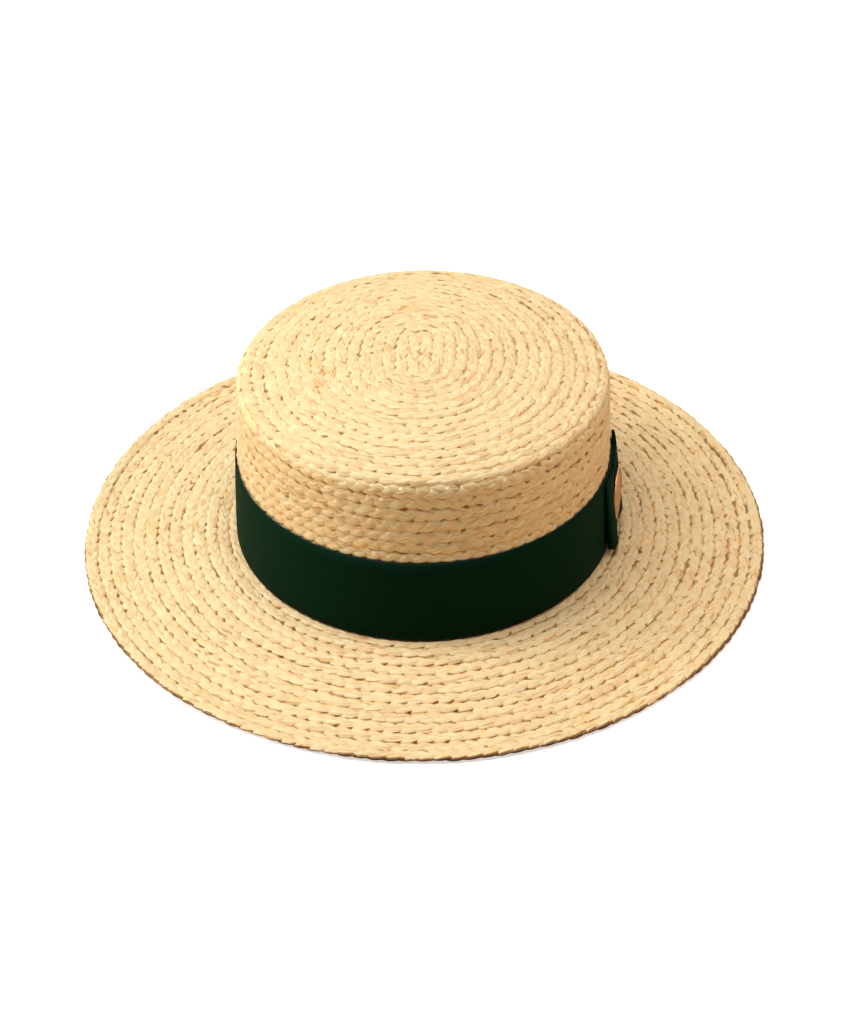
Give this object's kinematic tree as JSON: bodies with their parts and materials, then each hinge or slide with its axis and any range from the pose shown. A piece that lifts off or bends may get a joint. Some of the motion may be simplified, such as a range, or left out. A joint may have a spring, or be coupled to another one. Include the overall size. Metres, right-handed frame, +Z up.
{
  "type": "flat-topped wide-brim straw hat with ribbon band",
  "caption": "Natural raffia braid hat with an oval flat-topped crown, wide level brim, dark green ribbon band, flat side bow and round metal badge.",
  "frame": {"origin": "on the surface under the rim, midway across the brim both ways, under the middle of the crown", "axes": "+Z up through the crown, -Y to the front of the hat, +X to the wearer's left, where the bow sits"},
  "size_m": [0.3132, 0.3554, 0.0921],
  "materials": {
    "straw": "natural raffia braid, soft satin",
    "ribbon": "dark green grosgrain ribbon, low sheen",
    "gold": "polished warm gold-coloured plating"
  },
  "bodies": {
    "root": {"crown": "straw", "brim": "straw", "hat_band": "ribbon", "bow_loops": "ribbon", "bow_knot": "ribbon", "badge": "gold"}
  },
  "joints": []
}
